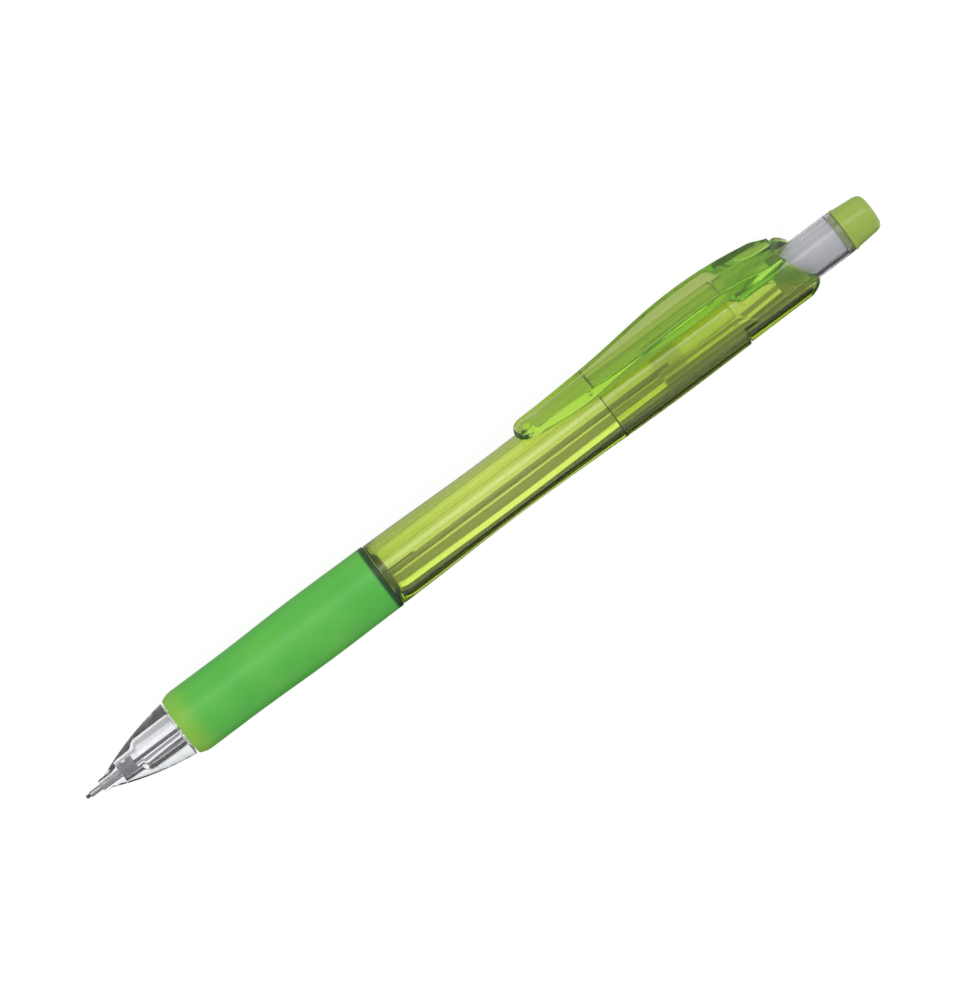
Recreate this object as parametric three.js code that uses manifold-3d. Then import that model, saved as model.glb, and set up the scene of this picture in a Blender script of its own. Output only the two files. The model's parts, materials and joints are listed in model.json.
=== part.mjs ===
// Push-button pencil for thin leads: a clear screwed cone, a soft grip on a tinted barrel,
// a rear sleeve that carries the clip, and a clutch mechanism on a push tube inside.
//
// Each piece is turned or cut in the pencil's own frame, in millimetres: x runs back along
// the axis from the point of the lead, and +z is the side that the clip stands on. At the
// end the pencil is laid down, resting on its bulge and on one edge of the clip.
import * as THREE from 'three';
import { mergeVertices } from 'three/addons/utils/BufferGeometryUtils.js';
import Module from 'manifold-3d';

const wasm = await Module();
wasm.setup();

// ---- driving dimensions -------------------------------------------------------------

// Leads and clearances
const lead_radius = 0.28;
const lead_length = 60;
const lead_showing = 0.7;
const spare_leads = 3;
const fit_clearance = 0.1;          // round parts that are pressed, screwed or snapped together
const slide_clearance = 0.12;       // round parts that slide in each other
const face_gap = 0.3;               // end faces that meet, at rest

// Cone, with the lead pipe and the rubber ring that holds the lead back
const pipe_wall = 0.12;
const pipe_showing = 2.0;
const pipe_length = 5.6;
const cone_length = 14.2;
const cone_nose_radius = 0.85;
const cone_neck_radius = 1.05;
const cone_neck_length = 1.3;
const cone_rear_radius = 4.55;
const cone_bore_start = 6.9;        // from the nose to the front of the bore
const retainer_radius = 1.2;
const retainer_length = 2.7;
const stem_wall = 0.55;
const stem_length = 8.1;

// Clutch: split chuck, ring, spring, housing and the joint to the lead tube
const chuck_head_radius = 1.65;
const chuck_stem_radius = 1.0;
const chuck_head_length = 3.0;
const chuck_length = 19.8;
const chuck_slot = 0.3;
const chuck_slot_length = 9.5;
const ring_length = 3.0;
const ring_wall = 0.42;
const push_travel = 3.5;
const feed_travel = 0.9;
const housing_wall = 0.48;
const housing_plate = 3.0;
const housing_length = 23.5;
const housing_flange_length = 2.7;
const spring_turns = 7;
const spring_wire_radius = 0.18;
const spring_length = 8.2;
const joint_head_length = 4.7;
const joint_spigot_length = 4.0;

// Lead tube, push tube, eraser and cap
const lead_tube_radius = 2.0;
const lead_tube_wall = 0.6;
const lead_tube_press = 4.5;        // how far the lead tube is pressed into the push tube
const push_tube_radius = 3.5;
const push_tube_wall = 0.7;
const push_tube_length = 34.0;
const push_tube_showing = 8.1;
const mouth_depth = 2.2;
const mouth_wall = 0.38;
const eraser_length = 15.5;
const eraser_in_tube = 12.6;
const cap_length = 5.4;
const cap_taper = 0.35;
const cap_wall = 0.85;
const spigot_wall = 0.32;

// Grip and barrel
const nose_wall = 0.95;
const grip_length = 36.8;
const grip_wall = 0.78;
const grip_bulge = 0.2;
const grip_edge = 1.1;
const barrel_length = 63.5;
const barrel_wall = 1.1;
const socket_wall = 0.72;
const waist_depth = 0.55;
const rear_step = 0.08;

// Rear sleeve and clip
const sleeve_length = 12.2;
const sleeve_stem_wall = 0.95;
const sleeve_stem_length = 22.8;
const clip_length = 37.3;
const clip_half_width = 3.4;
const clip_tip_half_width = 1.9;
const clip_gap = 0.6;               // between the clip's underside and the barrel
const clip_tip_height = 1.95;       // from the barrel's bulge to the top of the clip's tip
const clip_arch_height = 2.95;      // the same to the top of its arch
const pad_radius = 1.1;
const clip_split = 1.2;             // from the sleeve's front end to the root of the clip

// Facets round a full turn
const facets = 32;
const lead_facets = 12;

// ---- sizes and places that follow ---------------------------------------------------

// Radii, from the lead outwards
const pipe_bore = lead_radius + 0.05;
const pipe_radius = pipe_bore + pipe_wall;
const chuck_bore = lead_radius + 0.08;
const ring_bore = chuck_head_radius + fit_clearance;
const ring_radius = ring_bore + ring_wall;
const chamber_radius = lead_tube_radius + slide_clearance;
const housing_radius = chamber_radius + housing_wall;
const stem_bore = Math.max(housing_radius, ring_radius) + fit_clearance;
const stem_radius = stem_bore + stem_wall;
const nose_bore = stem_radius + fit_clearance;
const nose_radius = nose_bore + nose_wall;
const grip_bore = nose_radius + fit_clearance;
const grip_radius = grip_bore + grip_wall;
const cone_bore = chuck_head_radius + 0.2;
const cone_back_radius = Math.max(cone_rear_radius, nose_bore + 0.4);
const lead_tube_bore = lead_tube_radius - lead_tube_wall;
const push_tube_bore = push_tube_radius - push_tube_wall;
const wide_tube_radius = push_tube_bore - fit_clearance;
const wide_tube_bore = wide_tube_radius - lead_tube_wall;
const mouth_radius = push_tube_radius - mouth_wall;
const spigot_radius = mouth_radius - fit_clearance;
const eraser_radius = spigot_radius - spigot_wall - slide_clearance;
const sleeve_bore = push_tube_radius + slide_clearance;
const sleeve_stem_radius = sleeve_bore + sleeve_stem_wall;
const socket_radius = sleeve_stem_radius + fit_clearance;
const bulge_radius = socket_radius + socket_wall;
const waist_radius = bulge_radius - waist_depth;
const sleeve_radius = bulge_radius - rear_step;
const barrel_bore = waist_radius - barrel_wall;

// Places along the axis
const pipe_front = lead_showing;
const nose_x = pipe_front + pipe_showing;
const shoulder_x = nose_x + cone_length;
const retainer_front = pipe_front + pipe_length + 0.1;
const retainer_back = retainer_front + retainer_length;
const bore_front = Math.max(nose_x + cone_bore_start, retainer_back + 0.4);
const step_x = shoulder_x + 0.1;
const ring_front = step_x + face_gap + feed_travel;
const chuck_front = ring_front - 0.9;
const ring_back = ring_front + ring_length;
const housing_front = ring_back + face_gap;
const housing_back = housing_front + housing_length;
const chamber_front = housing_front + housing_plate;
const stem_back = shoulder_x + stem_length;
const flange_front = stem_back + face_gap;
const flange_back = flange_front + housing_flange_length;
const chuck_back = chuck_front + chuck_length;
const spring_front = chamber_front + face_gap;
const joint_front = spring_front + spring_length + face_gap;
const joint_back = joint_front + joint_head_length;
const spigot_back = joint_back + joint_spigot_length;
const barrel_front = shoulder_x + 0.4;
const grip_front = barrel_front;
const grip_back = grip_front + grip_length;
const collar_x = grip_back + 0.4;
const barrel_back = collar_x + barrel_length;
const sleeve_front = barrel_back + face_gap;
const sleeve_back = sleeve_front + sleeve_length;
const sleeve_stem_front = sleeve_front - sleeve_stem_length;
const push_tube_back = sleeve_back + push_tube_showing;
const push_tube_front = push_tube_back - push_tube_length;
const wide_tube_front = housing_back + push_travel + 2;
const lead_tube_back = push_tube_front + lead_tube_press;
const cap_back = push_tube_back + cap_length;
const clip_root = sleeve_front + clip_split;
const clip_tip = clip_root - clip_length;
const waist_x = collar_x + 0.33 * barrel_length;
const bulge_x = collar_x + 0.83 * barrel_length;

// ---- shape helpers ------------------------------------------------------------------

// Points [x, r] that run smoothly from knot to knot, level at each knot.
function eased(knots, steps = 6) {
  const points = [knots[0]];
  for (let k = 1; k < knots.length; k += 1) {
    const [x0, r0] = knots[k - 1];
    const [x1, r1] = knots[k];
    for (let i = 1; i <= steps; i += 1) {
      const t = i / steps;
      const s = (1 - Math.cos(Math.PI * t)) / 2;
      points.push([x0 + (x1 - x0) * t, r0 + (r1 - r0) * s]);
    }
  }
  return points;
}

// The height of a line of [x, height] points at one x.
function heightOn(line, x) {
  const k = Math.max(1, line.findIndex(([xk]) => xk >= x));
  const [xa, za] = line[k - 1];
  const [xb, zb] = line[k];
  return za + ((zb - za) * (x - xa)) / (xb - xa);
}

// Points on a bent line from one end to the other, pulled towards the middle point.
function bent([x0, r0], [xm, rm], [x1, r1], steps = 8) {
  const curve = new THREE.QuadraticBezierCurve(
    new THREE.Vector2(x0, r0), new THREE.Vector2(xm, rm), new THREE.Vector2(x1, r1));
  return curve.getPoints(steps).map((p) => [p.x, p.y]);
}

// A round solid: a closed outline of [x, r] points turned about the x axis.
function turned(outline, segments = facets) {
  const points = outline.map(([x, r]) => new THREE.Vector2(r, x));
  points.push(points[0].clone());
  const geometry = new THREE.LatheGeometry(points, segments);
  geometry.rotateZ(-Math.PI / 2);
  return geometry;
}

// A plain tube from x0 to x1.
function tube(x0, x1, outer, inner, segments = facets) {
  return turned([[x0, inner], [x0, outer], [x1, outer], [x1, inner]], segments);
}

// A plain rod from x0 to x1, with its end edges broken.
function rod(x0, x1, radius, segments = facets, edge = 0) {
  const front_edge = edge > 0 ? [[x0, radius - edge], [x0 + edge, radius]] : [[x0, radius]];
  const back_edge = edge > 0 ? [[x1 - edge, radius], [x1, radius - edge]] : [[x1, radius]];
  const outline = [[x0, 0], ...front_edge, ...back_edge, [x1, 0]];
  return turned(outline, segments);
}

// A manifold solid from a closed geometry, and back.
function solid(geometry) {
  const bare = geometry.clone();
  for (const name of Object.keys(bare.attributes)) if (name !== 'position') bare.deleteAttribute(name);
  const merged = mergeVertices(bare, 1e-5);
  const index = Array.from(merged.index.array);
  const kept = [];
  for (let i = 0; i < index.length; i += 3) {
    const [a, b, c] = index.slice(i, i + 3);
    if (a !== b && b !== c && c !== a) kept.push(a, b, c);
  }
  const mesh = new wasm.Mesh({
    numProp: 3,
    vertProperties: new Float32Array(merged.attributes.position.array),
    triVerts: new Uint32Array(kept),
  });
  return new wasm.Manifold(mesh);
}

function geometryOf(manifold) {
  const mesh = manifold.getMesh();
  const geometry = new THREE.BufferGeometry();
  geometry.setAttribute('position', new THREE.BufferAttribute(new Float32Array(mesh.vertProperties), 3));
  geometry.setIndex(new THREE.BufferAttribute(new Uint32Array(mesh.triVerts), 1));
  geometry.computeVertexNormals();
  return geometry;
}

// A flat outline of [x, z] points, given a width across y.
function plate(outline, half_width) {
  const shape = new THREE.Shape(outline.map(([x, z]) => new THREE.Vector2(x, z)));
  const geometry = new THREE.ExtrudeGeometry(shape, { depth: 2 * half_width, bevelEnabled: false });
  geometry.translate(0, 0, -half_width);
  geometry.rotateX(Math.PI / 2);
  return geometry;
}

const materials = {
  clear: { color: 0xe8eef0, roughness: 0.08, metalness: 0, transparent: true, opacity: 0.4 },
  lime: { color: 0xb4cc3c, roughness: 0.12, metalness: 0, transparent: true, opacity: 0.75 },
  grip: { color: 0x55c832, roughness: 0.6, metalness: 0 },
  steel: { color: 0x9a9ca0, roughness: 0.3, metalness: 1 },
  brass: { color: 0xc8a24a, roughness: 0.3, metalness: 1 },
  white: { color: 0xe4e6ea, roughness: 0.4, metalness: 0 },
  pale: { color: 0xccd0e0, roughness: 0.2, metalness: 0, transparent: true, opacity: 0.7 },
  rubber: { color: 0x4a4c50, roughness: 0.8, metalness: 0 },
  graphite: { color: 0x2c2c30, roughness: 0.45, metalness: 0 },
  eraser: { color: 0xf0eeea, roughness: 0.9, metalness: 0 },
};

const pencil = new THREE.Group();

function add(name, geometry, material) {
  const mesh = new THREE.Mesh(geometry, new THREE.MeshStandardMaterial(materials[material]));
  mesh.name = name;
  pencil.add(mesh);
}

// ---- front end ----------------------------------------------------------------------

add('lead_sleeve', tube(pipe_front, pipe_front + pipe_length, pipe_radius, pipe_bore), 'steel');

add('lead_retainer', tube(retainer_front, retainer_back, retainer_radius, chuck_bore), 'rubber');

// The cone's outside runs from its nose over a short neck and a full taper to the shoulder,
// and then steps in to the stem that screws into the barrel. Its bore steps from the pipe's
// hole to the rubber's pocket, the lead's bore and the clutch's bore.
function tipCone() {
  const neck_x = nose_x + cone_neck_length;
  const bow = [
    neck_x + 0.42 * (shoulder_x - neck_x),
    cone_neck_radius + 0.7 * (cone_back_radius - cone_neck_radius),
  ];
  const pocket = retainer_radius + 0.06;
  return turned([
    [nose_x, pipe_radius + 0.05],
    [nose_x, cone_nose_radius],
    [nose_x + 0.3, cone_neck_radius],
    ...bent([neck_x, cone_neck_radius], bow, [shoulder_x, cone_back_radius]),
    [shoulder_x, stem_radius],
    [stem_back, stem_radius],
    [stem_back, stem_bore],
    [step_x, stem_bore],
    [step_x, cone_bore],
    [bore_front + 0.9, cone_bore],
    [bore_front, pocket],
    [retainer_front - 0.05, pocket],
    [retainer_front - 0.05, pipe_radius + 0.05],
  ]);
}
add('tip_cone', tipCone(), 'clear');

// ---- clutch -------------------------------------------------------------------------

// The chuck is a brass rod with a bore for the lead. Three saw cuts make its head spring
// open when it leaves the ring.
function chuck() {
  const head_back = chuck_front + chuck_head_length;
  let body = solid(turned([
    [chuck_front, chuck_bore],
    [chuck_front, chuck_head_radius - 0.2],
    [chuck_front + 0.6, chuck_head_radius],
    [head_back - 0.6, chuck_head_radius - 0.2],
    [head_back, chuck_stem_radius],
    [chuck_back, chuck_stem_radius],
    [chuck_back, chuck_bore],
  ]));
  const reach = chuck_head_radius + 1;
  for (let k = 0; k < 3; k += 1) {
    const cut = new THREE.BoxGeometry(chuck_slot_length + 1, chuck_slot, reach);
    cut.translate(chuck_front + (chuck_slot_length - 1) / 2, 0, reach / 2);
    cut.rotateX((2 * Math.PI * k) / 3);
    body = body.subtract(solid(cut));
  }
  return geometryOf(body);
}
add('chuck', chuck(), 'brass');

add('chuck_ring', turned([
  [ring_front, ring_bore],
  [ring_front, ring_radius - 0.15],
  [ring_front + 0.15, ring_radius],
  [ring_back - 0.15, ring_radius],
  [ring_back, ring_radius - 0.15],
  [ring_back, ring_bore],
]), 'steel');

// The housing is a tube that holds the spring. Its front plate is the ring's seat, and its
// flange is held between the cone's stem and a step in the barrel.
add('chuck_housing', turned([
  [housing_front, chuck_stem_radius + 0.15],
  [housing_front, housing_radius],
  [flange_front, housing_radius],
  [flange_front, nose_bore - fit_clearance],
  [flange_back, nose_bore - fit_clearance],
  [flange_back, housing_radius],
  [housing_back, housing_radius],
  [housing_back, chamber_radius],
  [chamber_front, chamber_radius],
  [chamber_front, chuck_stem_radius + 0.15],
]), 'white');

function returnSpring() {
  const coil_radius = (chamber_radius + chuck_stem_radius) / 2;
  class Coil extends THREE.Curve {
    getPoint(t, target = new THREE.Vector3()) {
      const turn = 2 * Math.PI * spring_turns * t;
      const x = spring_front + spring_wire_radius + (spring_length - 2 * spring_wire_radius) * t;
      return target.set(x, coil_radius * Math.cos(turn), coil_radius * Math.sin(turn));
    }
  }
  const section = new THREE.Shape();
  section.absarc(0, 0, spring_wire_radius, 0, 2 * Math.PI);
  return new THREE.ExtrudeGeometry(section, {
    steps: 14 * spring_turns,
    curveSegments: 3,
    bevelEnabled: false,
    extrudePath: new Coil(),
  });
}
add('return_spring', returnSpring(), 'steel');

// The joint holds the chuck's stem in its head and plugs into the lead tube.
add('chuck_joint', turned([
  [joint_front, chuck_stem_radius + 0.06],
  [joint_front, lead_tube_radius],
  [joint_back, lead_tube_radius],
  [joint_back, lead_tube_bore - fit_clearance],
  [spigot_back, lead_tube_bore - fit_clearance],
  [spigot_back, 2 * lead_radius],
  [chuck_back + face_gap, 2 * lead_radius],
  [chuck_back + face_gap, chuck_stem_radius + 0.06],
]), 'white');

// ---- leads, lead tube, push tube ----------------------------------------------------

add('lead_in_use', rod(0, lead_length, lead_radius, lead_facets, 0.08), 'graphite');

// The spare leads lie side by side across the lead tube, clear of the lead in use. Those at
// the sides are a little off the tube's axis, and the middle one is just past the lead in use.
const spare_turn = Math.PI / 4;
const spare_sag = 0.25;
const spare_middle_sag = 2 * lead_radius + slide_clearance / 2;
const spare_pitch = 2 * lead_radius + 2 * slide_clearance;
for (let k = 0; k < spare_leads; k += 1) {
  const place = k - (spare_leads - 1) / 2;
  const aside = place * spare_pitch;
  const sag = place === 0 ? spare_middle_sag : spare_sag;
  const front = spigot_back + 0.6 + 2 * k;
  const spare = rod(front, front + lead_length, lead_radius, lead_facets, 0.08);
  spare.translate(
    0,
    -sag * Math.sin(spare_turn) - aside * Math.cos(spare_turn),
    -sag * Math.cos(spare_turn) + aside * Math.sin(spare_turn),
  );
  add(`spare_lead_${k + 1}`, spare, 'graphite');
}

// The lead tube widens behind the housing, and is pressed into the front of the push tube.
add('lead_tube', turned([
  [joint_back + face_gap, lead_tube_bore],
  [joint_back + face_gap, lead_tube_radius],
  [wide_tube_front - 0.7, lead_tube_radius],
  [wide_tube_front, wide_tube_radius],
  [lead_tube_back, wide_tube_radius],
  [lead_tube_back, wide_tube_bore],
  [wide_tube_front + 0.7, wide_tube_bore],
  [wide_tube_front, lead_tube_bore],
]), 'white');

add('push_tube', turned([
  [push_tube_front, push_tube_bore],
  [push_tube_front, push_tube_radius - 0.2],
  [push_tube_front + 0.2, push_tube_radius],
  [push_tube_back, push_tube_radius],
  [push_tube_back, mouth_radius],
  [push_tube_back - mouth_depth, mouth_radius],
  [push_tube_back - mouth_depth, push_tube_bore],
]), 'pale');

const eraser_front = push_tube_back - eraser_in_tube;
const eraser_back = eraser_front + eraser_length;
add('eraser', rod(eraser_front, eraser_back, eraser_radius, facets, 0.25), 'eraser');

// The cap is a shell over the eraser, with a thin spigot in the mouth of the push tube.
function eraserCap() {
  const spigot_front = push_tube_back - mouth_depth + face_gap;
  const cavity = eraser_radius + slide_clearance;
  const cap_front = push_tube_back + 0.1;
  const roof = Math.max(eraser_back + face_gap, cap_back - cap_wall);
  return turned([
    [spigot_front, cavity],
    [spigot_front, spigot_radius],
    [cap_front, spigot_radius],
    [cap_front, push_tube_radius + 0.05],
    ...bent([cap_back - 0.7, push_tube_radius - cap_taper],
      [cap_back, push_tube_radius - cap_taper], [cap_back, push_tube_radius - cap_taper - 0.7], 4),
    [cap_back, 0],
    [roof, 0],
    [roof, cavity - 0.1],
    [roof - 0.6, cavity],
  ]);
}
add('eraser_cap', eraserCap(), 'lime');

// ---- grip and barrel ----------------------------------------------------------------

add('grip', turned([
  [grip_front, grip_bore],
  ...bent([grip_front, grip_bore + 0.15], [grip_front + 0.35 * grip_edge, grip_radius - 0.1],
    [grip_front + grip_edge, grip_radius], 4),
  ...eased([
    [grip_front + 0.25 * grip_length, grip_radius - 0.03],
    [grip_front + 0.67 * grip_length, grip_radius + grip_bulge],
    [grip_back - 0.4, grip_radius + 0.6 * grip_bulge],
  ]),
  [grip_back, grip_radius - 0.1],
  [grip_back, grip_bore],
]), 'grip');

// The barrel's outside, from the collar behind the grip over the waist and the bulge.
const barrel_outside = eased([
  [collar_x, grip_radius],
  [waist_x, waist_radius],
  [bulge_x, bulge_radius],
  [barrel_back, sleeve_radius],
], 6);

// Its bore steps from the cone's thread to the housing's seat, the wide bore and the
// socket for the rear sleeve.
const seat_back = housing_back + 1;
const flare_back = Math.max(seat_back, grip_back) + 4;
add('barrel', turned([
  [barrel_front, nose_bore],
  [barrel_front, nose_radius],
  [collar_x, nose_radius],
  ...barrel_outside,
  [barrel_back, socket_radius],
  [sleeve_stem_front - face_gap, socket_radius],
  [sleeve_stem_front - face_gap, barrel_bore],
  [flare_back, barrel_bore],
  [seat_back + 0.5, wide_tube_radius + 2 * slide_clearance],
  [seat_back, housing_radius + fit_clearance],
  [flange_back + face_gap, housing_radius + fit_clearance],
  [flange_back + face_gap, nose_bore],
]), 'lime');

// ---- rear sleeve and clip -----------------------------------------------------------

// The top of the clip, as [x, height over the axis]: level along the tip, over an arch above
// the sleeve's joint, and down ever more steeply to the sleeve's rim. The root of the clip
// cuts it in two.
const level_top = bulge_radius + clip_tip_height;
const arch_top = bulge_radius + clip_arch_height;
const arch_x = clip_root - 0.165 * clip_length;
const rim_x = sleeve_back - 0.3;
const clip_outside = eased([
  [clip_tip + 0.8, level_top],
  [clip_tip + 0.36 * clip_length, level_top + 0.03],
  [arch_x, arch_top],
], 10);
for (let k = 1; k <= 10; k += 1) {
  const share = k / 10;
  clip_outside.push([
    arch_x + (rim_x - arch_x) * share,
    sleeve_radius + (arch_top - sleeve_radius) * Math.cos((Math.PI / 2) * share),
  ]);
}

function partOfOutside(x0, x1) {
  const inside = clip_outside.filter(([x]) => x > x0 + 0.1 && x < x1 - 0.1);
  return [[x0, heightOn(clip_outside, x0)], ...inside, [x1, heightOn(clip_outside, x1)]];
}

// The sleeve: a tube with a thinner stem that snaps into the barrel, and a block on top
// that the clip springs from.
function rearSleeve() {
  const sleeve = solid(turned([
    [sleeve_stem_front, sleeve_bore],
    [sleeve_stem_front, sleeve_stem_radius - 0.15],
    [sleeve_stem_front + 0.3, sleeve_stem_radius],
    [sleeve_front, sleeve_stem_radius],
    [sleeve_front, sleeve_radius],
    [sleeve_back - 0.4, sleeve_radius],
    [sleeve_back, sleeve_radius - 0.4],
    [sleeve_back, sleeve_bore],
  ]));
  const root = solid(plate([
    [rim_x, 0],
    [clip_root + face_gap, 0],
    ...partOfOutside(clip_root + face_gap, rim_x),
  ], clip_half_width));
  const bore = solid(rod(sleeve_stem_front - 1, sleeve_back + 1, sleeve_bore));
  return geometryOf(sleeve.add(root).subtract(bore));
}
add('rear_sleeve', rearSleeve(), 'lime');

// The clip: its side outline, narrowed towards a round tip, with an underside that follows
// the barrel at the clip's gap. A small pad under the tip nearly touches the barrel.
function clip() {
  const side = solid(plate([
    [clip_root, 0],
    [clip_tip, 0],
    [clip_tip, level_top - 0.7],
    ...partOfOutside(clip_tip + 0.9, clip_root),
  ], clip_half_width + 1));
  const tip_arc = [];
  for (let k = 0; k <= 6; k += 1) {
    const turn = Math.PI * (k / 6);
    tip_arc.push([
      clip_tip + clip_tip_half_width * (1 - Math.sin(turn)),
      clip_tip_half_width * Math.cos(turn),
    ]);
  }
  const shape = new THREE.Shape([
    ...tip_arc,
    [clip_tip + 0.4 * clip_length, -clip_half_width + 0.15],
    [clip_root, -clip_half_width],
    [clip_root, clip_half_width],
    [clip_tip + 0.4 * clip_length, clip_half_width - 0.15],
  ].map(([x, y]) => new THREE.Vector2(x, y)));
  const plan = solid(new THREE.ExtrudeGeometry(shape, { depth: 3 * bulge_radius, bevelEnabled: false }));
  const clear_of_barrel = barrel_outside.map(([x, r]) => [x, r + clip_gap]);
  const hollow = solid(turned([
    [collar_x, 0],
    ...clear_of_barrel,
    [clip_root + 2, sleeve_radius + clip_gap],
    [clip_root + 2, 0],
  ]));
  const pad_x = clip_tip + 2 * pad_radius;
  const pad = new THREE.SphereGeometry(pad_radius, 16, 8);
  pad.scale(1, 1, 0.5);
  pad.translate(pad_x, 0, heightOn(barrel_outside, pad_x) + face_gap + pad_radius / 2);
  return geometryOf(side.intersect(plan).subtract(hollow).add(solid(pad)));
}
add('clip', clip(), 'lime');

// ---- the pencil laid down -----------------------------------------------------------

// The lead points along +x. The pencil lies on its bulge with one edge of the clip's arch
// on the same plane, so it can't roll further.
const edge_reach = Math.hypot(arch_top, clip_half_width);
const edge_turn = Math.atan2(clip_half_width, arch_top);
const roll = Math.PI - Math.acos(bulge_radius / edge_reach) - edge_turn;

const turned_round = new THREE.Group();
turned_round.rotation.z = Math.PI;
turned_round.add(pencil);
const rolled = new THREE.Group();
rolled.rotation.x = roll;
rolled.add(turned_round);
const laid_down = new THREE.Group();
laid_down.add(rolled);
laid_down.updateMatrixWorld(true);
const box = new THREE.Box3().setFromObject(laid_down, true);
rolled.position.set(
  -(box.min.x + box.max.x) / 2,
  -(box.min.y + box.max.y) / 2,
  -box.min.z,
);
laid_down.updateMatrixWorld(true);

export default laid_down;
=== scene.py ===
"""The looks of a lime push-button pencil for thin leads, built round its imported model.

Every piece is shaped in the pencil's own millimetres, with x running back along the axis
from the point of the lead and z on the side that the clip stands on, and is then put in
its place in the row frame. Sections follow the pencil as it is put together.
"""
import json
import math

import bmesh
import bpy
from mathutils import Matrix, Vector


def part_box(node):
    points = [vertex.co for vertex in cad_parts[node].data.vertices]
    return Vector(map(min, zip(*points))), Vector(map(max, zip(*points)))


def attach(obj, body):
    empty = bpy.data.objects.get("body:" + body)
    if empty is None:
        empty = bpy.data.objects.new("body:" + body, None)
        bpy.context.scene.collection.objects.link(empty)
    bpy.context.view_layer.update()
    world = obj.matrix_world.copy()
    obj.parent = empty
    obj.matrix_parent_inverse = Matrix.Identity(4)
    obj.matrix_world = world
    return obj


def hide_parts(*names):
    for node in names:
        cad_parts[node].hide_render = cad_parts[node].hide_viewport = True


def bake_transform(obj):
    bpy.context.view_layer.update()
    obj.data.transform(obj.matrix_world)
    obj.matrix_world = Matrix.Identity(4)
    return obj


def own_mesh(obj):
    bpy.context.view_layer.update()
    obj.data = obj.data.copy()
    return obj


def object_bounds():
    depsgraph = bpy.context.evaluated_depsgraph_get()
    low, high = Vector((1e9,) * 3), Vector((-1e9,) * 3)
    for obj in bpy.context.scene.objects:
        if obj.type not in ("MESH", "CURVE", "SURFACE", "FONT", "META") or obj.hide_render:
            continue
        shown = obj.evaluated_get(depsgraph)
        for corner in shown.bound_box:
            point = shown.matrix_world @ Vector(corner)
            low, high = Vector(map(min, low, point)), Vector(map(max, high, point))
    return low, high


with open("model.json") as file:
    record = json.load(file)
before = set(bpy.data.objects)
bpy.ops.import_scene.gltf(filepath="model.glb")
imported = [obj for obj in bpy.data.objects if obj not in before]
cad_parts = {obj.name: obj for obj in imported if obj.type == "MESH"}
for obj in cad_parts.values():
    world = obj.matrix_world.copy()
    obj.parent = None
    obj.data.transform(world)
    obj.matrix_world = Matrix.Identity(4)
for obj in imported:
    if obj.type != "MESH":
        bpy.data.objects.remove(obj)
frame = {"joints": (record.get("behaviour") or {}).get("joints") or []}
cad_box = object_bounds()

# ---- The pencil's own axes ----------------------------------------------------------
# The clip bends about the line across the pencil, so its joint gives the way the pencil
# is rolled. The push tube is round, so the middle of its box is on the axis.

MM = 0.001


def joint(name):
    """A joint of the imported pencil."""
    return next(j for j in frame["joints"] if j["name"] == name)


BACK = Vector((-1, 0, 0))
ACROSS = Vector(joint("clip_flex")["axis"]).normalized()
OUT = BACK.cross(ACROSS)
low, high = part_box("push_tube")
POINT = Vector((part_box("lead_in_use")[1].x, (low.y + high.y) / 2, (low.z + high.z) / 2))
AXES = Matrix((BACK, ACROSS, OUT)).transposed()
PLACE = Matrix.Translation(POINT) @ AXES.to_4x4() @ Matrix.Scale(MM, 4)


def ends(node):
    """Where a CAD node starts and ends along the pencil, in millimetres from the point."""
    front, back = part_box(node)
    return (POINT.x - back.x) / MM, (POINT.x - front.x) / MM


# ---- Camera -------------------------------------------------------------------------
# A long lens looks square at the pencil from the side, with the clip turned an eighth
# of a turn from the picture's upper edge towards the eye, and the point at lower left.

CLIP_TURN = math.radians(45)
AXIS_TILT = math.radians(36.87)
LENS, SENSOR = 200, 36
NEAREST, FURTHEST = 0.05, 20
SHOWN_MM = 146.86
AIM_MM = (0.74, 0.51)

upright = math.cos(CLIP_TURN) * OUT + math.sin(CLIP_TURN) * ACROSS
to_eye = math.sin(CLIP_TURN) * OUT - math.cos(CLIP_TURN) * ACROSS
right = math.cos(AXIS_TILT) * BACK - math.sin(AXIS_TILT) * upright
top = math.sin(AXIS_TILT) * BACK + math.cos(AXIS_TILT) * upright
middle = PLACE @ Vector((ends("eraser_cap")[1] / 2, 0, 0))

camera = bpy.data.objects.new("camera", bpy.data.cameras.new("camera"))
bpy.context.scene.collection.objects.link(camera)
camera.data.lens = LENS
camera.data.sensor_width = SENSOR
distance = SHOWN_MM * MM * LENS / SENSOR
camera.matrix_world = Matrix.Translation(
    middle + (AIM_MM[0] * right + AIM_MM[1] * top) * MM + distance * to_eye
) @ Matrix((right, top, to_eye)).transposed().to_4x4()
camera.data.clip_start = NEAREST
camera.data.clip_end = FURTHEST
bpy.context.scene.camera = camera


# ---- Shader maths -------------------------------------------------------------------
# A Paint is one material being mixed. It hands out Values, which Python's own operators
# work on, each adding the Math node that it stands for.


class Value:
    def __init__(self, paint, node, output=0):
        self.paint, self.node, self.socket = paint, node, node.outputs[output]

    def of(self, output):
        return Value(self.paint, self.node, output)

    def maths(self, operation, *values):
        return self.paint.add("ShaderNodeMath", {"operation": operation}, dict(enumerate(values)))

    def __add__(self, other):
        return self.maths("ADD", self, other)

    def __sub__(self, other):
        return self.maths("SUBTRACT", self, other)

    def __rsub__(self, other):
        return self.maths("SUBTRACT", other, self)

    def __mul__(self, other):
        return self.maths("MULTIPLY", self, other)

    def __pow__(self, other):
        return self.maths("POWER", self, other)

    __radd__, __rmul__ = __add__, __mul__


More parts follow.
